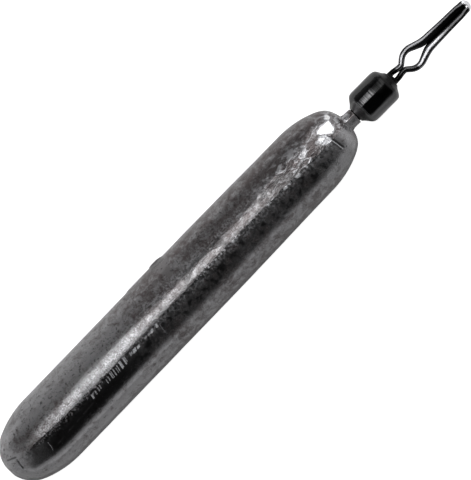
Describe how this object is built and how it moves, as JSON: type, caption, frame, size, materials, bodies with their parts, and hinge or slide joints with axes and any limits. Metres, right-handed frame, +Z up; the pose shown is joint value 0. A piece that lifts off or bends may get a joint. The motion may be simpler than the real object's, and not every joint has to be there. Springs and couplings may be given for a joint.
{
  "type": "fishing sinker",
  "caption": "Pencil-shaped drop-shot sinker: a cast lead rod with rounded ends, a rolling swivel cast into its crown, and a wire clip that pinches the fishing line.",
  "frame": {"origin": "on the surface that the sinker lies on, below the middle of its whole length", "axes": "+X runs along the sinker from the tail of the lead to the line clip, +Z is up, and the line eye lies flat in the plane of X and Y"},
  "size_m": [0.0496, 0.0061, 0.0059],
  "materials": {
    "cast_lead": "cast lead with a dull grey oxide, burnished where the mould was smooth",
    "nickel_wire": "dark nickel plate, bright drawn wire",
    "black_nickel": "glossy black nickel plate"
  },
  "bodies": {
    "sinker": {"lead_body": "cast_lead", "anchor_eye": "nickel_wire"},
    "barrel": {"swivel_barrel": "black_nickel"},
    "clip": {"line_clip": "nickel_wire"}
  },
  "joints": [
    {"name": "barrel_spin", "type": "hinge", "parent": "sinker", "child": "barrel", "pos_m": [0.01478, -0.00021, 0.00291], "axis": [0.9997, -0.0227, 0], "continuous": true},
    {"name": "clip_spin", "type": "hinge", "parent": "barrel", "child": "clip", "pos_m": [0.01478, -0.00021, 0.00291], "axis": [0.9997, -0.0227, 0], "continuous": true}
  ]
}
